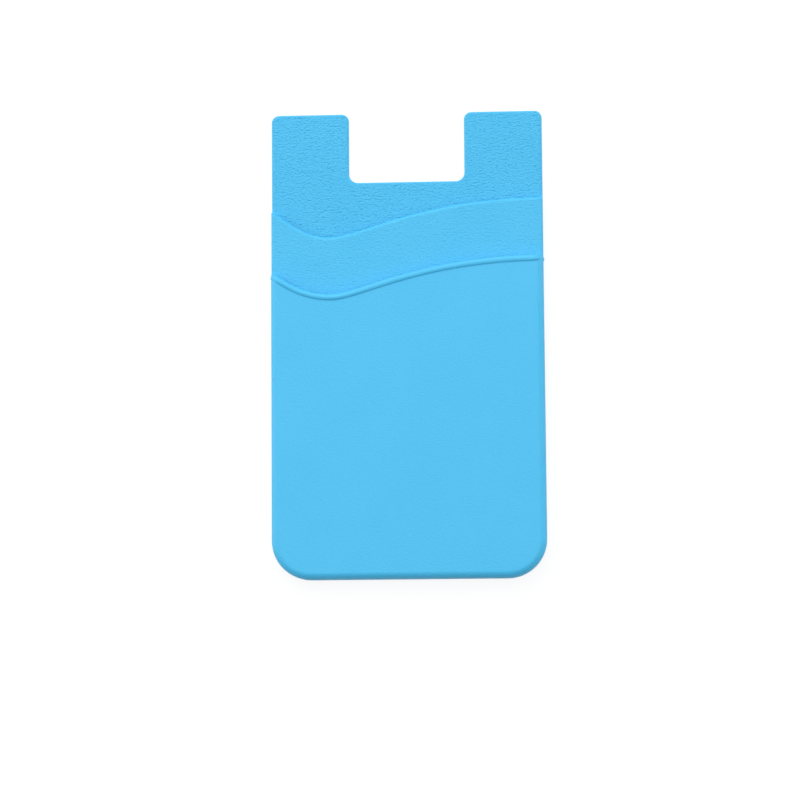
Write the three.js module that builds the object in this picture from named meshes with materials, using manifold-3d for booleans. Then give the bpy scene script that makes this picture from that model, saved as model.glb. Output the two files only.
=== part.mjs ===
// Stick-on card holder for the back of a phone: one moulded silicone sleeve with two card pockets,
// an adhesive sheet on its back and the release liner that covers the adhesive until it is used.
//
// Millimetres. The holder lies on its back: +Z points out of its front, +Y towards its two tabs.
// The origin is the middle of the holder's plan, on the outer face of the release liner.

import * as THREE from 'three';
import { mergeVertices } from 'three/addons/utils/BufferGeometryUtils.js';
import Module from 'manifold-3d';

// The card that each pocket is sized for, and the room it has
const CARD_WIDTH = 54;
const CARD_THICKNESS = 0.76;
const CARD_SIDE_PLAY = 0.3;
const CARD_FACE_PLAY = 0.14;

// Walls of the sleeve
const SIDE_WALL = 1.2;
const BOTTOM_WALL = 1.3;
const BACK_PLATE = 1.1;
const MIDDLE_WALL = 0.7;
const FRONT_WALL = 0.8;

// Plan of the sleeve
const HOLDER_HEIGHT = 98.2;
const BOTTOM_CORNER_RADIUS = 8.15;
const TAB_CORNER_RADIUS = 1.55;
const NOTCH_WIDTH = 24.3;
const NOTCH_DEPTH = 14.7;
const NOTCH_CORNER_RADIUS = 1.85;

// Rounded edges
const PLATE_EDGE_RADIUS = 0.5;
const MIDDLE_EDGE_RADIUS = 0.6;
const FRONT_EDGE_RADIUS = 1.5;

// Wavy pocket mouths: a level trough near the left side, a short rise to the left, a long one to the right
const TROUGH_FROM_LEFT = 12.3;
const TROUGH_LEFT_HANDLE = 6.25;
const TROUGH_RIGHT_HANDLE = 6.4;
const RIGHT_END_HANDLE = 26.3;
const FRONT_LIP = { trough: 59.4, leftRise: 4.45, leftSlope: 0.66, leftHandle: 1.9, rightRise: 7.6 };
const MIDDLE_LIP = { trough: 71.8, leftRise: 5.4, leftSlope: 0.22, leftHandle: 2.3, rightRise: 7.75 };

// Bead along the front mouth
const BEAD_RADIUS = 0.78;
const BEAD_RISE = 0.34;
const BEAD_OVERHANG = 0.2;
const BEAD_SIDE_DROP = 0.5;

// Adhesive sheet and its liner
const ADHESIVE_THICKNESS = 0.2;
const ADHESIVE_INSET = 2;
const LINER_THICKNESS = 0.12;
const LINER_OVERLAP = 0.5;

// How finely the curves are divided
const ARC_DIVISIONS = 5;
const LIP_DIVISIONS = 24;
const SMALL_EDGE_STEPS = 2;
const FRONT_EDGE_STEPS = 5;
const BEAD_SIDES = 10;
const BEAD_STEPS = 72;
const CUT_MARGIN = 5;

// Levels and half sizes that follow from the sizes above
const POCKET_WIDTH = CARD_WIDTH + 2 * CARD_SIDE_PLAY;
const POCKET_GAP = CARD_THICKNESS + CARD_FACE_PLAY;
const HOLDER_WIDTH = POCKET_WIDTH + 2 * SIDE_WALL;
const HALF_WIDTH = HOLDER_WIDTH / 2;
const HALF_HEIGHT = HOLDER_HEIGHT / 2;
const SLEEVE_BACK = LINER_THICKNESS + ADHESIVE_THICKNESS;
const PLATE_FRONT = SLEEVE_BACK + BACK_PLATE;
const MIDDLE_BACK = PLATE_FRONT + POCKET_GAP;
const MIDDLE_FRONT = MIDDLE_BACK + MIDDLE_WALL;
const FRONT_BACK = MIDDLE_FRONT + POCKET_GAP;
const SLEEVE_FRONT = FRONT_BACK + FRONT_WALL;
const POCKET_ROOT = SLEEVE_BACK + BACK_PLATE / 2;

const wasm = await Module();
wasm.setup();

// Plan of the back plate: a U with rounded corners, moved inwards all round by inset
function plateOutline(inset = 0) {
  const right = HALF_WIDTH - inset;
  const top = HALF_HEIGHT - inset;
  const bottomRadius = BOTTOM_CORNER_RADIUS - inset;
  const tabRadius = Math.max(TAB_CORNER_RADIUS - inset, TAB_CORNER_RADIUS / 2);
  const notchRadius = NOTCH_CORNER_RADIUS + inset;
  const notchSide = NOTCH_WIDTH / 2 + inset;
  const notchFloor = HALF_HEIGHT - NOTCH_DEPTH - inset;
  const quarter = Math.PI / 2;
  const outline = new THREE.Shape();
  outline.absarc(right - bottomRadius, bottomRadius - top, bottomRadius, -quarter, 0, false);
  outline.absarc(right - tabRadius, top - tabRadius, tabRadius, 0, quarter, false);
  outline.absarc(notchSide + tabRadius, top - tabRadius, tabRadius, quarter, 2 * quarter, false);
  outline.absarc(notchSide - notchRadius, notchFloor + notchRadius, notchRadius, 0, -quarter, true);
  outline.absarc(notchRadius - notchSide, notchFloor + notchRadius, notchRadius, -quarter, -2 * quarter, true);
  outline.absarc(-notchSide - tabRadius, top - tabRadius, tabRadius, 0, quarter, false);
  outline.absarc(tabRadius - right, top - tabRadius, tabRadius, quarter, 2 * quarter, false);
  outline.absarc(bottomRadius - right, bottomRadius - top, bottomRadius, 2 * quarter, 3 * quarter, false);
  outline.closePath();
  return outline;
}

// A pouch that is open at the top: straight sides and two round bottom corners
function pouchOutline(halfWidth, bottom, top, cornerRadius) {
  const quarter = Math.PI / 2;
  const outline = new THREE.Shape();
  outline.absarc(halfWidth - cornerRadius, bottom + cornerRadius, cornerRadius, -quarter, 0, false);
  outline.lineTo(halfWidth, top);
  outline.lineTo(-halfWidth, top);
  outline.absarc(cornerRadius - halfWidth, bottom + cornerRadius, cornerRadius, 2 * quarter, 3 * quarter, false);
  outline.closePath();
  return outline;
}

// The wave of a mouth from the left side to the right side, as two cubic curves that meet at the trough
function lipWave(lip) {
  const troughX = TROUGH_FROM_LEFT - HALF_WIDTH;
  const troughY = lip.trough - HALF_HEIGHT;
  const leftEnd = new THREE.Vector2(-HALF_WIDTH, troughY + lip.leftRise);
  const rightEnd = new THREE.Vector2(HALF_WIDTH, troughY + lip.rightRise);
  const wave = new THREE.Path();
  wave.moveTo(leftEnd.x, leftEnd.y);
  wave.bezierCurveTo(
    leftEnd.x + lip.leftHandle, leftEnd.y - lip.leftSlope * lip.leftHandle,
    troughX - TROUGH_LEFT_HANDLE, troughY,
    troughX, troughY,
  );
  wave.bezierCurveTo(
    troughX + TROUGH_RIGHT_HANDLE, troughY,
    rightEnd.x - RIGHT_END_HANDLE, rightEnd.y,
    rightEnd.x, rightEnd.y,
  );
  return wave;
}

// Everything below a mouth's wave, wider than the sleeve
function belowLip(lip) {
  const points = lipWave(lip).getPoints(LIP_DIVISIONS);
  const first = points[0];
  const last = points[points.length - 1];
  const floor = -HALF_HEIGHT - CUT_MARGIN;
  const region = new THREE.Shape();
  region.moveTo(-HALF_WIDTH - CUT_MARGIN, floor);
  region.lineTo(HALF_WIDTH + CUT_MARGIN, floor);
  region.lineTo(HALF_WIDTH + CUT_MARGIN, last.y);
  for (const point of points.reverse()) {
    region.lineTo(point.x, point.y);
  }
  region.lineTo(-HALF_WIDTH - CUT_MARGIN, first.y + lip.leftSlope * CUT_MARGIN);
  region.closePath();
  return region;
}

// The line that the middle of the bead follows: up one side, over the rounded edge, along the wave and down
class BeadLine extends THREE.Curve {
  constructor() {
    super();
    this.wave = lipWave(FRONT_LIP).getSpacedPoints(4 * LIP_DIVISIONS);
    this.edgeX = HALF_WIDTH - FRONT_EDGE_RADIUS;
    this.edgeZ = SLEEVE_FRONT - FRONT_EDGE_RADIUS;
    this.acrossRadius = FRONT_EDGE_RADIUS - BEAD_RADIUS + BEAD_OVERHANG;
    this.upRadius = FRONT_EDGE_RADIUS - BEAD_RADIUS + BEAD_RISE;
    this.bendLength = (Math.PI / 4) * (this.acrossRadius + this.upRadius);
    this.halfLength = this.edgeX + this.bendLength + BEAD_SIDE_DROP;
  }

  waveHeight(x) {
    const next = this.wave.findIndex((point) => point.x > x);
    if (next < 1) {
      return next === 0 ? this.wave[0].y : this.wave[this.wave.length - 1].y;
    }
    const before = this.wave[next - 1];
    const after = this.wave[next];
    return THREE.MathUtils.mapLinear(x, before.x, after.x, before.y, after.y);
  }

  getPoint(t, target = new THREE.Vector3()) {
    const travel = (2 * t - 1) * this.halfLength;
    const side = Math.sign(travel);
    const past = Math.abs(travel) - this.edgeX;
    const angle = THREE.MathUtils.clamp(past / this.bendLength, 0, 1) * (Math.PI / 2);
    const drop = Math.max(past - this.bendLength, 0);
    const across = past < 0 ? Math.abs(travel) : this.edgeX + this.acrossRadius * Math.sin(angle);
    const height = this.edgeZ + this.upRadius * Math.cos(angle) - drop;
    return target.set(side * across, this.waveHeight(side * across) - BEAD_RADIUS, height);
  }
}

// A closed solid from one of three's geometries
function solidFrom(geometry) {
  const bare = geometry.clone();
  bare.deleteAttribute('normal');
  bare.deleteAttribute('uv');
  const joined = mergeVertices(bare, 1e-4);
  const vertProperties = new Float32Array(joined.attributes.position.array);
  const triVerts = new Uint32Array(joined.index.array);
  return new wasm.Manifold(new wasm.Mesh({ numProp: 3, vertProperties, triVerts }));
}

// A plate of the given outline between two levels, with sharp edges
function sharpPlate(outline, back, front) {
  const plate = new THREE.ExtrudeGeometry(outline, {
    depth: front - back,
    bevelEnabled: false,
    curveSegments: ARC_DIVISIONS,
  });
  return solidFrom(plate.translate(0, 0, back));
}

// A plate of the given outline between two levels, with both rims rounded
function roundedPlate(outline, back, front, radius, steps) {
  const plate = new THREE.ExtrudeGeometry(outline, {
    depth: front - back - 2 * radius,
    bevelEnabled: true,
    bevelThickness: radius,
    bevelSize: radius,
    bevelOffset: -radius,
    bevelSegments: steps,
    curveSegments: ARC_DIVISIONS,
  });
  return solidFrom(plate.translate(0, 0, back + radius));
}

// The block that a pocket is cut into: rooted in the back plate, rounded at its front rim, ending at its wave
function pocketBlock(lip, front, radius, steps) {
  const outline = pouchOutline(HALF_WIDTH, -HALF_HEIGHT, HALF_HEIGHT, BOTTOM_CORNER_RADIUS);
  const block = roundedPlate(outline, POCKET_ROOT - 2 * radius, front, radius, steps);
  return block.intersect(sharpPlate(belowLip(lip), POCKET_ROOT, front + CUT_MARGIN));
}

// The space for a card between two walls
function pocketSpace(back) {
  const outline = pouchOutline(
    POCKET_WIDTH / 2,
    BOTTOM_WALL - HALF_HEIGHT,
    HALF_HEIGHT + CUT_MARGIN,
    BOTTOM_CORNER_RADIUS - SIDE_WALL,
  );
  return sharpPlate(outline, back, back + POCKET_GAP);
}

function lipBead() {
  const section = new THREE.Shape();
  section.absarc(0, 0, BEAD_RADIUS, 0, 2 * Math.PI, false);
  const bead = new THREE.ExtrudeGeometry(section, {
    extrudePath: new BeadLine(),
    steps: BEAD_STEPS,
    bevelEnabled: false,
    curveSegments: BEAD_SIDES / 2,
  });
  return solidFrom(bead);
}

function siliconeSleeve() {
  const plate = roundedPlate(plateOutline(), SLEEVE_BACK, PLATE_FRONT, PLATE_EDGE_RADIUS, SMALL_EDGE_STEPS);
  const rearBlock = pocketBlock(MIDDLE_LIP, MIDDLE_FRONT, MIDDLE_EDGE_RADIUS, SMALL_EDGE_STEPS);
  const frontBlock = pocketBlock(FRONT_LIP, SLEEVE_FRONT, FRONT_EDGE_RADIUS, FRONT_EDGE_STEPS);
  return plate
    .add(rearBlock)
    .add(frontBlock)
    .add(lipBead())
    .subtract(pocketSpace(PLATE_FRONT))
    .subtract(pocketSpace(MIDDLE_FRONT));
}

function adhesiveSheet() {
  return sharpPlate(plateOutline(ADHESIVE_INSET), LINER_THICKNESS, SLEEVE_BACK);
}

function releaseLiner() {
  return sharpPlate(plateOutline(ADHESIVE_INSET - LINER_OVERLAP), 0, LINER_THICKNESS);
}

// A named mesh of a finished solid
function namedMesh(name, solid, material) {
  const { vertProperties, triVerts } = solid.getMesh();
  const geometry = new THREE.BufferGeometry();
  geometry.setAttribute('position', new THREE.BufferAttribute(vertProperties, 3));
  geometry.setIndex(new THREE.BufferAttribute(triVerts, 1));
  geometry.computeVertexNormals();
  const mesh = new THREE.Mesh(geometry, material);
  mesh.name = name;
  return mesh;
}

const silicone = new THREE.MeshStandardMaterial({ color: 0x5ac3f2, roughness: 0.6, metalness: 0 });
const adhesive = new THREE.MeshStandardMaterial({ color: 0xe6e2d6, roughness: 0.5, metalness: 0 });
const liner = new THREE.MeshStandardMaterial({ color: 0xf3efe2, roughness: 0.45, metalness: 0 });

const group = new THREE.Group();
group.add(namedMesh('silicone_sleeve', siliconeSleeve(), silicone));
group.add(namedMesh('adhesive_sheet', adhesiveSheet(), adhesive));
group.add(namedMesh('release_liner', releaseLiner(), liner));

export default group;
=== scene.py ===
"""Looks of a stick-on card holder for the back of a phone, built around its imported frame.

The silicone sleeve is modelled in full in place of its CAD solid. The adhesive sheet and its release liner
keep their CAD shapes and get their finishes here. The holder lies on its back: +Z points out of its front
and +Y towards its two tabs. Sizes in the classes are millimetres, and the finished piece is in metres.
"""

import logging
import math
from collections.abc import Callable, Mapping, Sequence
from dataclasses import dataclass
from enum import Enum

import bmesh
import bpy
from mathutils import Matrix, Vector


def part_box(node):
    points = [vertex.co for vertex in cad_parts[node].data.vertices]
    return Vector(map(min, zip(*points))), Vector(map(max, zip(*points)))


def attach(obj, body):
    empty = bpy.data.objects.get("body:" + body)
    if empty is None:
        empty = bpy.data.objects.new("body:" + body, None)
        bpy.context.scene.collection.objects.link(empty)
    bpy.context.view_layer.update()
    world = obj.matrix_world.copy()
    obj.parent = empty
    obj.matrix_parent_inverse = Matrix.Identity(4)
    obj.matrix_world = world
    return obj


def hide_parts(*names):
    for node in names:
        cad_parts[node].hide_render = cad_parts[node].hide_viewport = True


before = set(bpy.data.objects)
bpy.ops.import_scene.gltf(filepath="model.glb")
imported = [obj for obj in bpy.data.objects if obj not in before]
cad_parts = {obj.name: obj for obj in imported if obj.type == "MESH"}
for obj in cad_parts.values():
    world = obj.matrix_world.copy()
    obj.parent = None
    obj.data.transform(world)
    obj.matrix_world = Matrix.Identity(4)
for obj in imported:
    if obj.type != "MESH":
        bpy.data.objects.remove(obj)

LOG = logging.getLogger("card_holder")
BODY = "root"
MM = 0.001
NEAR = 0.002

# Parts of a unit normal that tell level faces, upright faces, a mouth's wall and the back apart
LEVEL_FACE = 0.99
UPRIGHT_FACE = 0.02
MOUTH_FACE = 0.6
BACK_FACE = -0.5

Colour = tuple[float, float, float]
Test = Callable[..., bool]


class Cut(Enum):
    """Ways in which one solid changes another."""

    JOIN = "UNION"
    REMOVE = "DIFFERENCE"
    KEEP = "INTERSECT"


class Pick(Enum):
    """Kinds of mesh element that the bench selects."""

    VERTS = ("VERT", "verts")
    EDGES = ("EDGE", "edges")
    FACES = ("FACE", "faces")


def activate(piece: bpy.types.Object) -> None:
    """Leaves one object selected and active."""
    bpy.ops.object.select_all(action="DESELECT")
    piece.select_set(True)
    bpy.context.view_layer.objects.active = piece


class Bench:
    """Edit mode on one mesh, with elements selected by a test."""

    def __init__(self, piece: bpy.types.Object) -> None:
        """Takes the mesh object to work on."""
        self.piece = piece

    def __enter__(self) -> "Bench":
        """Selects the piece alone and enters edit mode."""
        activate(self.piece)
        bpy.ops.object.mode_set(mode="EDIT")
        return self

    def __exit__(self, *_: object) -> None:
        """Goes back to object mode."""
        bpy.ops.object.mode_set(mode="OBJECT")

    def pick(self, kind: Pick, wanted: Test) -> None:
        """Selects the elements that pass a test, and nothing else.

        Args:
            kind: Which elements the test looks at.
            wanted: The test, which takes one element.
        """
        mode, group = kind.value
        bpy.ops.mesh.select_mode(type=mode)
        bpy.ops.mesh.select_all(action="DESELECT")
        form = bmesh.from_edit_mesh(self.piece.data)
        form.normal_update()
        chosen = [element for element in getattr(form, group) if wanted(element)]
        for element in chosen:
            element.select_set(True)
        form.select_flush_mode()
        bmesh.update_edit_mesh(self.piece.data)

    def pick_all(self) -> None:
        """Selects the whole mesh."""
        bpy.ops.mesh.select_mode(type="VERT")
        bpy.ops.mesh.select_all(action="SELECT")

    def size_and_place(self, size: Sequence[float], place: Sequence[float] = (0, 0, 0)) -> None:
        """Scales the whole mesh about the origin, then moves it."""
        self.pick_all()
        bpy.ops.transform.resize(value=size, center_override=(0, 0, 0))
        bpy.ops.transform.translate(value=place)

    def slice(self, point: Sequence[float], normal: Sequence[float]) -> None:
        """Cuts the whole mesh along a plane and keeps both sides."""
        self.pick_all()
        bpy.ops.mesh.bisect(plane_co=point, plane_no=normal, threshold=NEAR / 100)

    def round_corners(self, radius: float, steps: int, wanted: Test) -> None:
        """Rounds the corners of a flat sheet that pass a test."""
        self.pick(Pick.VERTS, wanted)
        bpy.ops.mesh.bevel(offset=radius, segments=steps, affect="VERTICES", clamp_overlap=False)

    def round_edges(self, radius: float, steps: int, wanted: Test) -> None:
        """Rounds the edges that pass a test."""
        self.pick(Pick.EDGES, wanted)
        bpy.ops.mesh.bevel(offset=radius, segments=steps, affect="EDGES", clamp_overlap=False)

    def lift(self, height: float) -> None:
        """Extrudes all faces of a sheet upwards into a solid."""
        self.pick(Pick.FACES, lambda face: True)
        bpy.ops.mesh.extrude_region_move(TRANSFORM_OT_translate={"value": (0, 0, height)})
        self.turn_outwards()

    def turn_outwards(self) -> None:
        """Turns all faces of a closed mesh outwards."""
        self.pick_all()
        bpy.ops.mesh.normals_make_consistent(inside=False)

    def clean(self) -> None:
        """Merges doubled points, drops loose edges and turns all faces outwards."""
        self.pick_all()
        bpy.ops.mesh.remove_doubles(threshold=NEAR / 4)
        bpy.ops.mesh.dissolve_degenerate(threshold=NEAR / 4)
        bpy.ops.mesh.delete_loose(use_faces=False)
        self.turn_outwards()


def new_sheet(width: float, height: float, place: Sequence[float]) -> bpy.types.Object:
    """Adds a flat rectangle.

    Args:
        width: Its size from left to right.
        height: Its size from the bottom to the tabs.
        place: Its middle.

    Returns:
        The mesh object, at the origin, with its place in its mesh.
    """
    bpy.ops.object.select_all(action="DESELECT")
    bpy.ops.mesh.primitive_plane_add(size=1, location=(0, 0, 0))
    sheet = bpy.context.object
    with Bench(sheet) as bench:
        bench.size_and_place((width, height, 1), place)
    return sheet


def combine(piece: bpy.types.Object, tool: bpy.types.Object, how: Cut) -> None:
    """Changes a piece by a solid, and removes the solid.

    Args:
        piece: The piece that is changed.
        tool: The solid that joins or cuts it.
        how: Whether the solid is joined, cut out or kept alone.
    """
    activate(piece)
    bpy.ops.object.modifier_add(type="BOOLEAN")
    boolean = piece.modifiers[-1]
    boolean.operation = how.value
    boolean.solver = "MANIFOLD"
    boolean.object = tool
    bpy.ops.object.modifier_apply(modifier=boolean.name)
    activate(tool)
    bpy.ops.object.delete()


def is_level(face: bmesh.types.BMFace) -> bool:
    """Whether a face lies flat."""
    return abs(face.normal.z) > LEVEL_FACE


def is_mouth_wall(face: bmesh.types.BMFace) -> bool:
    """Whether a face is part of a mouth's upright wall, which looks towards the tabs."""
    return abs(face.normal.z) < UPRIGHT_FACE and face.normal.y > MOUTH_FACE


def is_mouth_rim(edge: bmesh.types.BMEdge) -> bool:
    """Whether an edge runs along the outside of a mouth's upright wall."""
    walls = [is_mouth_wall(face) for face in edge.link_faces]
    rest = [face for face, wall in zip(edge.link_faces, walls) if not wall]
    return sum(walls) == 1 and len(rest) == 1 and rest[0].normal.z > BACK_FACE


def reaches_above(edge: bmesh.types.BMEdge, level: float) -> bool:
    """Whether a whole edge lies above a level, or on it."""
    return min(vert.co.z for vert in edge.verts) > level - NEAR


@dataclass
class Mouth:
    """A wavy pocket mouth, from the holder's left side to its right side.

    Its trough is a place on the plan. The rises are above the trough, and the handles shape the curves.
    """

    half_width: float
    trough: tuple[float, float]
    left_rise: float
    left_slope: float
    left_handle: float
    right_rise: float
    trough_handles: tuple[float, float] = (6.25, 6.4)
    right_handle: float = 26.3
    overlap: float = 5.0
    steps: int = 44

    def line(self) -> bpy.types.Object:
        """Draws the wave as a chain of edges at level nought and returns it."""
        left = Vector((-self.half_width, self.trough[1] + self.left_rise, 0))
        middle = Vector((*self.trough, 0))
        right = Vector((self.half_width, self.trough[1] + self.right_rise, 0))
        steep = Vector((self.left_handle, -self.left_slope * self.left_handle, 0))
        before, after = (Vector((handle, 0, 0)) for handle in self.trough_handles)
        flat = Vector((self.right_handle, 0, 0))
        bpy.ops.object.select_all(action="DESELECT")
        bpy.ops.curve.primitive_bezier_curve_add(location=(0, 0, 0))
        wave = bpy.context.object
        bpy.ops.object.mode_set(mode="EDIT")
        bpy.ops.curve.select_all(action="SELECT")
        bpy.ops.curve.subdivide(number_cuts=1)
        bpy.ops.object.mode_set(mode="OBJECT")
        spline = wave.data.splines[0]
        spline.resolution_u = self.steps
        places = ((left, steep, steep), (middle, before, after), (right, flat, flat))
        for point, (place, back, ahead) in zip(spline.bezier_points, places):
            point.handle_left_type = point.handle_right_type = "FREE"
            point.co = place
            point.handle_left = place - back
            point.handle_right = place + ahead
        activate(wave)
        bpy.ops.object.convert(target="MESH")
        return wave

    def below(
        self,
        bottom: float,
        top: float,
        reach: float,
        rim: float,
        rim_steps: int,
    ) -> bpy.types.Object:
        """Makes a solid that fills everything below the wave.

        Args:
            bottom: The level of its back.
            top: The level of its front.
            reach: How far it goes down from the wave.
            rim: The radius of its front edge along the wave, or nought for a sharp one.
            rim_steps: How finely that edge is rounded.

        Returns:
            A closed solid, wider than the holder.
        """
        region = self.line()
        with Bench(region) as bench:
            for side, rise in ((-1, self.overlap * self.left_slope), (1, 0.0)):
                bench.pick(Pick.VERTS, lambda vert: side * vert.co.x > self.half_width - NEAR)
                step = (side * self.overlap, rise, 0)
                bpy.ops.mesh.extrude_vertices_move(TRANSFORM_OT_translate={"value": step})
            bench.pick(Pick.EDGES, lambda edge: True)
            bpy.ops.mesh.extrude_edges_move(TRANSFORM_OT_translate={"value": (0, -reach, 0)})
            bench.lift(top - bottom)
            bench.size_and_place((1, 1, 1), (0, 0, bottom))
            if rim:
                bench.round_edges(
                    rim,
                    rim_steps,
                    lambda edge: is_mouth_rim(edge) and reaches_above(edge, top),
                )
        return region


@dataclass
class SiliconeSleeve:
    """The moulding: a back plate with two tabs, and two card pockets with wavy mouths."""

    half_height: float
    back: float
    card_width: float = 54.0
    card_thickness: float = 0.76
    card_side_play: float = 0.3
    card_face_play: float = 0.14
    side_wall: float = 1.2
    bottom_wall: float = 1.3
    plate: float = 1.1
    middle_wall: float = 0.7
    front_wall: float = 0.8
    bottom_corner: float = 8.15
    tab_corner: float = 1.55
    notch_corner: float = 1.85
    notch_width: float = 24.3
    notch_depth: float = 14.7
    trough_from_left: float = 12.3
    front_trough_height: float = 59.4
    middle_trough_height: float = 71.8
    plate_rim: float = 0.5
    middle_rim: float = 0.6
    front_rim: float = 1.5
    mouth_rim: float = 0.8
    bead_radius: float = 0.78
    bead_sink: float = 0.44
    bead_lap: float = 0.06
    bead_overhang: float = 0.2
    bead_drop: float = 0.5
    bead_steps: int = 3
    corner_steps: int = 16
    small_steps: int = 3
    rim_steps: int = 6
    smooth_angle: float = 40.0

    def __post_init__(self) -> None:
        """Works out the half width, the levels and the two mouths."""
        self.pocket_half = self.card_width / 2 + self.card_side_play
        self.half_width = self.pocket_half + self.side_wall
        self.gap = self.card_thickness + self.card_face_play
        self.plate_front = self.back + self.plate
        self.middle_front = self.plate_front + self.gap + self.middle_wall
        self.front = self.middle_front + self.gap + self.front_wall
        self.root = self.back + self.plate / 2
        self.front_mouth = Mouth(
            half_width=self.half_width,
            trough=self._trough(self.front_trough_height),
            left_rise=4.45,
            left_slope=0.66,
            left_handle=1.9,
            right_rise=7.6,
        )
        self.middle_mouth = Mouth(
            half_width=self.half_width,
            trough=self._trough(self.middle_trough_height),
            left_rise=5.4,
            left_slope=0.22,
            left_handle=2.3,
            right_rise=7.75,
        )

    def _trough(self, height: float) -> tuple[float, float]:
        """The place of a mouth's lowest point, from its height above the bottom edge."""
        return (self.trough_from_left - self.half_width, height - self.half_height)

    def build(self) -> bpy.types.Object:
        """Models the whole moulding, in metres, and returns it."""
        sleeve = self._plate()
        rear = self._block(self.middle_mouth, self.middle_front, self.middle_rim, self.mouth_rim)
        front = self._block(self.front_mouth, self.front, self.front_rim)
        bead = self._bead(front)
        for solid in (rear, front, bead):
            combine(sleeve, solid, Cut.JOIN)
        for level in (self.plate_front, self.middle_front):
            combine(sleeve, self._card_space(level), Cut.REMOVE)
        self._finish(sleeve)
        return sleeve

    def _plate(self) -> bpy.types.Object:
        """Makes the back plate, a U with rounded corners and rims."""
        plate = new_sheet(2 * self.half_width, 2 * self.half_height, (0, 0, self.back))
        side = self.notch_width / 2
        floor = self.half_height - self.notch_depth
        with Bench(plate) as bench:
            bench.slice((-side, 0, 0), (1, 0, 0))
            bench.slice((side, 0, 0), (1, 0, 0))
            bench.slice((0, floor, 0), (0, 1, 0))
            bench.pick(Pick.FACES, lambda face: self._in_notch(face.calc_center_median()))
            bpy.ops.mesh.delete(type="FACE")
            bench.pick_all()
            bpy.ops.mesh.dissolve_limited(angle_limit=math.radians(1))
            bench.round_corners(self.bottom_corner, self.corner_steps, lambda vert: vert.co.y < 0)
            bench.round_corners(
                self.tab_corner,
                self.corner_steps // 2,
                lambda vert: vert.co.y > self.half_height - NEAR,
            )
            bench.round_corners(
                self.notch_corner,
                self.corner_steps // 2,
                lambda vert: abs(vert.co.y - floor) < NEAR,
            )
            bench.lift(self.plate)
            bench.round_edges(
                self.plate_rim,
                self.small_steps,
                lambda edge: sum(is_level(face) for face in edge.link_faces) == 1,
            )
            bench.clean()
        return plate

    def _in_notch(self, place: Vector) -> bool:
        """Whether a place of the plan lies in the notch."""
        return abs(place.x) < self.notch_width / 2 and place.y > self.half_height - self.notch_depth

    def _pouch(
        self,
        half_width: float,
        bottom: float,
        corner: float,
        back: float,
        front: float,
    ) -> bpy.types.Object:
        """Makes a solid with straight sides and two round bottom corners.

        Args:
            half_width: Half its width.
            bottom: The place of its bottom edge.
            corner: The radius of its bottom corners.
            back: The level of its back.
            front: The level of its front.

        Returns:
            A closed solid, with its top edge past the tabs' ends.
        """
        top = self.half_height + self.side_wall
        pouch = new_sheet(2 * half_width, top - bottom, (0, (top + bottom) / 2, back))
        with Bench(pouch) as bench:
            bench.round_corners(corner, self.corner_steps, lambda vert: vert.co.y < 0)
            bench.lift(front - back)
        return pouch

    def _block(self, mouth: Mouth, front: float, rim: float, mouth_rim: float = 0.0) -> bpy.types.Object:
        """Makes the block that a pocket is cut into, from the middle of the plate to its front.

        Args:
            mouth: The wave at which it ends.
            front: The level of its front.
            rim: The radius of its front rim.
            mouth_rim: The radius of its mouth, or nought for a sharp one.

        Returns:
            A closed solid.
        """
        block = self._pouch(self.half_width, -self.half_height, self.bottom_corner, self.root, front)
        with Bench(block) as bench:
            bench.round_edges(rim, self.rim_steps, lambda edge: reaches_above(edge, front))
        reach = 4 * self.half_height
        cutter = mouth.below(self.root - self.plate, front, reach, mouth_rim, self.rim_steps)
        combine(block, cutter, Cut.KEEP)
        with Bench(block) as bench:
            bench.clean()
        return block

    def _bead(self, block: bpy.types.Object) -> bpy.types.Object:
        """Makes the round bead that follows the front block's mouth and folds over both sides.

        Args:
            block: The front block, with a sharp mouth.

        Returns:
            A closed solid.
        """
        lowest = self.front - self.front_rim
        activate(block)
        bpy.ops.object.duplicate()
        bead = bpy.context.object
        with Bench(bead) as bench:
            bench.pick(Pick.EDGES, lambda edge: not (is_mouth_rim(edge) and reaches_above(edge, lowest)))
            bpy.ops.mesh.delete(type="EDGE")
            bench.pick(Pick.VERTS, lambda vert: vert.co.z < lowest + NEAR)
            bpy.ops.mesh.extrude_vertices_move(TRANSFORM_OT_translate={"value": (0, 0, -self.bead_drop)})
            narrower = (self.half_width - self.bead_radius + self.bead_overhang) / self.half_width
            lap = self.bead_radius - self.bead_lap
            bench.size_and_place((narrower, 1, 1), (0, -lap, -self.bead_sink))
        activate(bead)
        bpy.ops.object.convert(target="CURVE")
        bead.data.bevel_depth = self.bead_radius
        bead.data.bevel_resolution = self.bead_steps
        bead.data.use_fill_caps = True
        bpy.ops.object.convert(target="MESH")
        with Bench(bead) as bench:
            bench.clean()
        return bead

    def _card_space(self, level: float) -> bpy.types.Object:
        """Makes the space of one card, open towards the tabs, with its back wall at a level."""
        bottom = self.bottom_wall - self.half_height
        corner = self.bottom_corner - self.side_wall
        return self._pouch(self.pocket_half, bottom, corner, level, level + self.gap)

    def _finish(self, sleeve: bpy.types.Object) -> None:
        """Cleans the moulding, shades it and brings it to metres."""
        with Bench(sleeve) as bench:
            bench.clean()
            bench.size_and_place((MM, MM, MM))
        activate(sleeve)
        bpy.ops.object.shade_smooth_by_angle(angle=math.radians(self.smooth_angle))
        bpy.ops.object.modifier_add(type="WEIGHTED_NORMAL")
        evening = sleeve.modifiers[-1]
        evening.keep_sharp = True
        bpy.ops.object.modifier_apply(modifier=evening.name)
        sleeve.name = "sleeve_moulding"
        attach(sleeve, BODY)
        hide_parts("silicone_sleeve")


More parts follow.
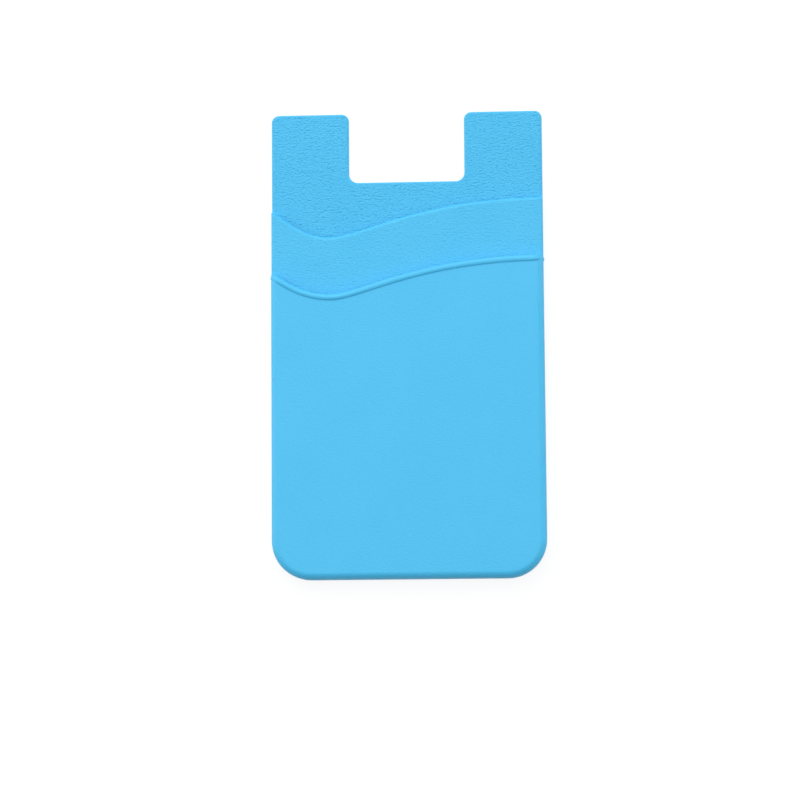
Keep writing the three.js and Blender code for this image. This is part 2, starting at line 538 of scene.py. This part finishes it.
class Signal:
    """A number on its way through a node tree, with arithmetic that adds Math nodes."""

    def __init__(self, board: "Board", socket: bpy.types.NodeSocket) -> None:
        """Takes the board that it is on and the socket that gives it."""
        self.board = board
        self.socket = socket

    def _math(self, operation: str, left: "Feed", right: "Feed") -> "Signal":
        """Adds one Math node and returns its result."""
        return self.board.node("ShaderNodeMath", {"operation": operation}, {0: left, 1: right})

    def __add__(self, other: "Feed") -> "Signal":
        """This plus another."""
        return self._math("ADD", self, other)

    def __radd__(self, other: "Feed") -> "Signal":
        """Another plus this."""
        return self._math("ADD", other, self)

    def __sub__(self, other: "Feed") -> "Signal":
        """This minus another."""
        return self._math("SUBTRACT", self, other)

    def __rsub__(self, other: "Feed") -> "Signal":
        """Another minus this."""
        return self._math("SUBTRACT", other, self)

    def __mul__(self, other: "Feed") -> "Signal":
        """This times another."""
        return self._math("MULTIPLY", self, other)

    def __rmul__(self, other: "Feed") -> "Signal":
        """Another times this."""
        return self._math("MULTIPLY", other, self)


Feed = Signal | float | Sequence[float]


class Board:
    """A node tree in the making."""

    def __init__(self, tree: bpy.types.NodeTree) -> None:
        """Takes an empty or used node tree, and empties it."""
        self.tree = tree
        tree.nodes.clear()

    def node(
        self,
        kind: str,
        settings: Mapping[str, object] | None = None,
        feeds: Mapping[int | str, Feed] | None = None,
        output: int | str = 0,
    ) -> Signal:
        """Adds a node.

        Args:
            kind: The node's type.
            settings: Its own properties, which are set first.
            feeds: The values or links of its sockets, by their index or name.
            output: The output socket that is wanted.

        Returns:
            The wanted output.
        """
        made = self.tree.nodes.new(kind)
        for name, value in (settings or {}).items():
            setattr(made, name, value)
        for name, value in (feeds or {}).items():
            if isinstance(value, Signal):
                self.tree.links.new(value.socket, made.inputs[name])
            else:
                made.inputs[name].default_value = value
        return Signal(self, made.outputs[output] if made.outputs else None)

    def close(self, kind: str, surface: Signal) -> None:
        """Adds the output node and links the finished shader to it."""
        self.node(kind, None, {"Surface": surface})

    def tint(self, factor: Feed, first: Feed, second: Feed) -> Signal:
        """Blends two colours by a factor."""
        blend = {"data_type": "RGBA", "clamp_factor": True}
        return self.node("ShaderNodeMix", blend, {0: factor, 6: first, 7: second}, 2)

    def noise(self, place: Signal, stretch: Sequence[float], detail: float, twist: float = 0.0) -> Signal:
        """Adds a noise pattern.

        Args:
            place: The coordinates that it reads.
            stretch: Its cells along each axis, as cells to a metre.
            detail: How many finer layers it has.
            twist: How much it is distorted.

        Returns:
            A number from nought to one, mostly near a half.
        """
        scaled = self.node("ShaderNodeMapping", None, {"Vector": place, "Scale": stretch})
        feeds = {"Vector": scaled, "Scale": 1.0, "Detail": detail, "Distortion": twist}
        return self.node("ShaderNodeTexNoise", None, feeds)

    def cells(self, place: Signal, stretch: Sequence[float]) -> Signal:
        """Adds a pattern of cells on the plan.

        Args:
            place: The coordinates that it reads.
            stretch: Its cells along each axis, as cells to a metre.

        Returns:
            The distance to the middle of the nearest cell, with a cell as its unit.
        """
        scaled = self.node("ShaderNodeMapping", None, {"Vector": place, "Scale": stretch})
        flat = {"voronoi_dimensions": "2D"}
        return self.node("ShaderNodeTexVoronoi", flat, {"Vector": scaled, "Scale": 1.0})

    def ramp(self, value: Signal, start: float, end: float) -> Signal:
        """Rises smoothly from nought at start to one at end."""
        feeds = {"Value": value, "From Min": start, "From Max": end}
        return self.node("ShaderNodeMapRange", {"interpolation_type": "SMOOTHSTEP"}, feeds)


def new_material(name: str) -> tuple[bpy.types.Material, Board]:
    """Adds a material and returns it with its empty board."""
    material = bpy.data.materials.new(name)
    material.use_nodes = True
    return material, Board(material.node_tree)


def opaque(colour: Colour) -> tuple[float, float, float, float]:
    """A colour with full cover."""
    return (*colour, 1.0)


def dress(piece: bpy.types.Object, material: bpy.types.Material) -> None:
    """Gives a piece one material all over."""
    piece.data.materials.clear()
    piece.data.materials.append(material)


@dataclass(frozen=True)
class SiliconeFinish:
    """Satin sky-blue silicone, with a leather grain on the plate and a fainter one on the middle wall.

    A wall's grain strength, with the plate's as one, also sets its painted shade: level faces are painted
    darker, the recessed plate most and the front least, and the grain's hollows darker still. Lengths are
    millimetres.
    """

    plate_front: float
    middle_front: float
    colour: Colour = (0.067, 0.53, 0.876)
    # The darker colour that the random mottle and the painted shade blend towards, and how far they may go
    mottle_and_shade_colour: Colour = (0.037, 0.462, 0.822)
    most_mottle_and_shade: float = 0.6
    roughness: float = 0.45
    roughness_spread: float = 0.06
    ior: float = 1.46
    wrinkle: tuple[float, float] = (0.95, 0.36)
    wrinkle_detail: float = 2.0
    wrinkle_twist: float = 0.4
    wrinkle_part: float = 0.55
    pebble: tuple[float, float] = (0.5, 0.36)
    pebble_middle: float = 0.2
    pebble_part: float = 0.45
    grain_height: float = 0.24
    # Grain heights over which the hollows are painted darker, as painted shade
    hollow_shade_span: tuple[float, float] = (0.05, -0.15)
    # Grain and painted shade of the middle wall and the front, with the plate's as one
    middle_grain_and_shade: float = 0.55
    front_grain_and_shade: float = 0.2
    level_margin: float = 0.1
    front_margin: float = 0.4
    # Faces less level than this get no grain and no painted shade, so rims and upright faces keep the
    # lighter colour
    flat_from: float = 0.6
    flat_to: float = 0.95
    mottle_cell: float = 9.0
    mottle_detail: float = 2.0
    mottle_span: tuple[float, float] = (0.3, 0.7)
    mottle_part: float = 0.2

    def material(self) -> bpy.types.Material:
        """Mixes the finish and returns it."""
        material, board = new_material("silicone")
        place = board.node("ShaderNodeTexCoord", None, None, "Object")
        height = board.node("ShaderNodeSeparateXYZ", None, {0: place}, "Z")
        facing = board.node("ShaderNodeTexCoord", None, None, "Normal")
        upward = board.node("ShaderNodeSeparateXYZ", None, {0: facing}, "Z")
        above_plate = board.ramp(
            height,
            (self.plate_front + self.level_margin) * MM,
            (self.middle_front - self.level_margin) * MM,
        )
        above_middle = board.ramp(
            height,
            (self.middle_front + self.level_margin) * MM,
            (self.middle_front + self.front_margin) * MM,
        )
        # Grain and painted shade by wall: strongest on the recessed plate, weakest on the front, on level
        # faces only
        grain_and_shade = 1.0 - (1.0 - self.middle_grain_and_shade) * above_plate
        grain_and_shade = grain_and_shade - (self.middle_grain_and_shade - self.front_grain_and_shade) * above_middle
        grain_and_shade = grain_and_shade * board.ramp(upward, self.flat_from, self.flat_to)
        wrinkles = board.noise(place, self._stretch(self.wrinkle), self.wrinkle_detail, self.wrinkle_twist)
        pebbles = board.cells(place, self._stretch(self.pebble))
        domes = self.pebble_middle - pebbles * pebbles
        grain = self.wrinkle_part * (wrinkles - 0.5) + self.pebble_part * domes
        bump = board.node(
            "ShaderNodeBump",
            None,
            {"Strength": 1.0, "Distance": self.grain_height * MM, "Height": grain * grain_and_shade},
        )
        mottle = board.noise(place, (1 / (self.mottle_cell * MM),) * 3, self.mottle_detail)
        # Painted shade in the grain's hollows, at half strength on its tops
        hollow_shade = 0.5 + 0.5 * board.ramp(grain, *self.hollow_shade_span)
        # Random mottle plus painted shade, which darken the base colour
        mottle_and_shade = self.mottle_part * board.ramp(mottle, *self.mottle_span) + grain_and_shade * hollow_shade
        base = board.tint(self.most_mottle_and_shade * mottle_and_shade, opaque(self.colour), opaque(self.mottle_and_shade_colour))
        rough = self.roughness + self.roughness_spread * mottle
        shader = board.node(
            "ShaderNodeBsdfPrincipled",
            None,
            {
                "Base Color": base,
                "Roughness": rough,
                "IOR": self.ior,
                "Normal": bump,
            },
        )
        board.close("ShaderNodeOutputMaterial", shader)
        return material

    @staticmethod
    def _stretch(cell: tuple[float, float]) -> tuple[float, float, float]:
        """The cells to a metre along each axis, from a cell's width and height in millimetres."""
        wide, high = cell
        return (1 / (wide * MM), 1 / (high * MM), 1 / (wide * MM))


@dataclass(frozen=True)
class FoamTapeFinish:
    """Milky acrylic foam of the adhesive sheet, with fine cells. Lengths are millimetres."""

    colour: Colour = (0.79, 0.76, 0.67)
    cell_colour: Colour = (0.66, 0.63, 0.54)
    cell: float = 0.12
    cell_detail: float = 1.0
    cell_depth: float = 0.02
    cell_strength: float = 0.6
    cell_span: tuple[float, float] = (0.4, 0.65)
    roughness: float = 0.5
    roughness_spread: float = 0.1
    ior: float = 1.47

    def material(self) -> bpy.types.Material:
        """Mixes the finish and returns it."""
        material, board = new_material("foam_tape")
        place = board.node("ShaderNodeTexCoord", None, None, "Object")
        cells = board.noise(place, (1 / (self.cell * MM),) * 3, self.cell_detail)
        base = board.tint(board.ramp(cells, *self.cell_span), opaque(self.colour), opaque(self.cell_colour))
        bump = board.node(
            "ShaderNodeBump",
            None,
            {"Strength": self.cell_strength, "Distance": self.cell_depth * MM, "Height": cells},
        )
        rough = self.roughness + self.roughness_spread * cells
        shader = board.node(
            "ShaderNodeBsdfPrincipled",
            None,
            {"Base Color": base, "Roughness": rough, "IOR": self.ior, "Normal": bump},
        )
        board.close("ShaderNodeOutputMaterial", shader)
        return material


@dataclass(frozen=True)
class LinerFinish:
    """Cream siliconised paper of the release liner, with faint fibres and a low gloss.

    Lengths are millimetres.
    """

    colour: Colour = (0.86, 0.82, 0.71)
    fibre_colour: Colour = (0.77, 0.72, 0.6)
    fibre: tuple[float, float] = (1.6, 0.12)
    fibre_detail: float = 3.0
    fibre_twist: float = 0.4
    fibre_span: tuple[float, float] = (0.52, 0.66)
    fibre_height: float = 0.012
    fibre_strength: float = 0.5
    fibre_part: float = 0.7
    cloud_cell: float = 6.0
    cloud_part: float = 0.3
    roughness: float = 0.36
    roughness_spread: float = 0.12
    ior: float = 1.45

    def material(self) -> bpy.types.Material:
        """Mixes the finish and returns it."""
        material, board = new_material("liner_paper")
        place = board.node("ShaderNodeTexCoord", None, None, "Object")
        long, fine = self.fibre
        sparse, dense = 1 / (long * MM), 1 / (fine * MM)
        along = board.noise(place, (dense, sparse, dense), self.fibre_detail, self.fibre_twist)
        across = board.noise(place, (sparse, dense, dense), self.fibre_detail, self.fibre_twist)
        cloud = board.noise(place, (1 / (self.cloud_cell * MM),) * 3, self.fibre_detail)
        fibres = 0.5 * along + 0.5 * across
        weight = self.fibre_part * board.ramp(fibres, *self.fibre_span) + self.cloud_part * cloud
        base = board.tint(weight, opaque(self.colour), opaque(self.fibre_colour))
        bump = board.node(
            "ShaderNodeBump",
            None,
            {"Strength": self.fibre_strength, "Distance": self.fibre_height * MM, "Height": fibres},
        )
        rough = self.roughness + self.roughness_spread * fibres
        shader = board.node(
            "ShaderNodeBsdfPrincipled",
            None,
            {"Base Color": base, "Roughness": rough, "IOR": self.ior, "Normal": bump},
        )
        board.close("ShaderNodeOutputMaterial", shader)
        return material


@dataclass
class AdhesiveBacking:
    """The adhesive sheet on the sleeve's back and the liner that covers it, as their CAD solids."""

    sheet_node: str = "adhesive_sheet"
    liner_node: str = "release_liner"

    def dress(self) -> list[bpy.types.Object]:
        """Gives both solids their finishes and returns them."""
        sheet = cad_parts[self.sheet_node]
        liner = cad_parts[self.liner_node]
        dress(sheet, FoamTapeFinish().material())
        dress(liner, LinerFinish().material())
        return [sheet, liner]


@dataclass
class SoftBox:
    """A square area lamp that looks at the holder, with its place and size in metres."""

    name: str
    place: tuple[float, float, float]
    size: float
    watts: float

    def build(self) -> bpy.types.Object:
        """Adds the lamp and returns it."""
        bpy.ops.object.select_all(action="DESELECT")
        bpy.ops.object.light_add(type="AREA", location=self.place)
        lamp = bpy.context.object
        lamp.name = self.name
        lamp.data.size = self.size
        lamp.data.energy = self.watts
        lamp.rotation_euler = Vector(self.place).to_track_quat("Z", "Y").to_euler()
        return lamp


@dataclass
class Studio:
    """A white table under soft light from above and from beyond the tabs.

    The table's size is in metres and its drop below the holder in millimetres.
    """

    floor_size: float = 3.0
    floor_drop: float = 0.02
    floor_share: float = 0.15
    floor_glow: float = 0.88
    floor_colour: Colour = (0.8, 0.8, 0.8)
    world_near: float = 0.1
    world_far: float = 0.6
    world_span: tuple[float, float] = (-1.0, 0.5)
    lamps: tuple[SoftBox, ...] = (
        SoftBox("far_light", (-0.1, 0.66, 0.62), 0.6, 3.2),
        SoftBox("left_light", (-0.75, 0.15, 0.3), 0.7, 2.1),
        SoftBox("right_light", (0.75, 0.1, 0.3), 0.6, 1.2),
        SoftBox("overhead_light", (0.0, 0.1, 1.1), 0.8, 2.5),
    )

    def build(self) -> None:
        """Adds the table, the lamps and the world."""
        self._table()
        self._world()
        for lamp in self.lamps:
            lamp.build()

    def _seen(self, board: Board) -> Signal:
        """Whether a ray comes from the camera, a reflection or a transparent piece."""
        camera, glossy, through = (
            board.node("ShaderNodeLightPath", None, None, name)
            for name in ("Is Camera Ray", "Is Glossy Ray", "Is Transmission Ray")
        )
        return board.node("ShaderNodeMath", {"operation": "MAXIMUM"}, {0: camera + glossy, 1: through})

    def _table(self) -> None:
        """Adds the white table that keeps the holder's shadow."""
        bpy.ops.object.select_all(action="DESELECT")
        bpy.ops.mesh.primitive_plane_add(size=self.floor_size, location=(0, 0, -self.floor_drop * MM))
        floor = bpy.context.object
        floor.name = "studio_table"
        material, board = new_material("table_white")
        bounce = board.node("ShaderNodeBsdfDiffuse", None, {"Color": opaque(self.floor_colour)})
        seen_colour = (self.floor_share,) * 3
        shaded = board.node("ShaderNodeBsdfDiffuse", None, {"Color": opaque(seen_colour)})
        glow = board.node("ShaderNodeEmission", None, {"Strength": self.floor_glow})
        lit = board.node("ShaderNodeAddShader", None, {0: shaded, 1: glow})
        surface = board.node("ShaderNodeMixShader", None, {0: self._seen(board), 1: bounce, 2: lit})
        board.close("ShaderNodeOutputMaterial", surface)
        dress(floor, material)

    def _world(self) -> None:
        """Sets the white surroundings."""
        world = bpy.data.worlds.new("studio_world")
        world.use_nodes = True
        bpy.context.scene.world = world
        board = Board(world.node_tree)
        direction = board.node("ShaderNodeTexCoord", None, None, "Generated")
        beyond = board.node("ShaderNodeSeparateXYZ", None, {0: direction}, "Y")
        far_part = board.ramp(beyond, *self.world_span)
        level = self.world_near + (self.world_far - self.world_near) * far_part
        soft = board.node("ShaderNodeBackground", None, {"Color": opaque((1, 1, 1)), "Strength": level})
        white = board.node("ShaderNodeBackground", None, {"Color": opaque((1, 1, 1)), "Strength": 1.0})
        surface = board.node("ShaderNodeMixShader", None, {0: self._seen(board), 1: soft, 2: white})
        board.close("ShaderNodeOutputWorld", surface)


@dataclass
class PhotoCamera:
    """The camera, above the holder and a little below its middle, placed by how it sees the holder.

    The three turns and the offset bring the holder's own frame into the camera's.
    """

    tilt: float = -6.064
    swing: float = -3.46
    roll: float = 0.814
    offset: tuple[float, float, float] = (1.755, 11.558, -555.169)
    focal_pixels: float = 2651.0
    image_pixels: float = 800.0
    sensor: float = 36.0

    def build(self) -> bpy.types.Object:
        """Adds the camera, makes it the scene's and returns it."""
        turn = (
            Matrix.Rotation(math.radians(self.roll), 4, "Z")
            @ Matrix.Rotation(math.radians(self.swing), 4, "Y")
            @ Matrix.Rotation(math.radians(self.tilt), 4, "X")
        )
        holder_to_camera = Matrix.Translation(Vector(self.offset) * MM) @ turn
        bpy.ops.object.select_all(action="DESELECT")
        bpy.ops.object.camera_add()
        camera = bpy.context.object
        camera.name = "photo_camera"
        camera.matrix_world = holder_to_camera.inverted()
        camera.data.sensor_width = self.sensor
        camera.data.lens = self.sensor * self.focal_pixels / self.image_pixels
        camera.data.clip_start = 0.01
        bpy.context.scene.camera = camera
        return camera


def report(piece: bpy.types.Object) -> None:
    """Logs a piece's name and how many faces it has."""
    LOG.info("%s: %d faces", piece.name, len(piece.data.polygons))


def main() -> None:
    """Builds the holder, the studio and the camera."""
    logging.basicConfig(level=logging.INFO)
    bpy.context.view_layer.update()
    PhotoCamera().build()
    low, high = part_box("silicone_sleeve")
    sleeve = SiliconeSleeve(half_height=high.y / MM, back=low.z / MM)
    moulding = sleeve.build()
    dress(moulding, SiliconeFinish(sleeve.plate_front, sleeve.middle_front).material())
    report(moulding)
    for piece in AdhesiveBacking().dress():
        report(piece)
    Studio().build()
    bpy.context.scene.view_settings.view_transform = "Standard"


if __name__ == "__main__":
    main()
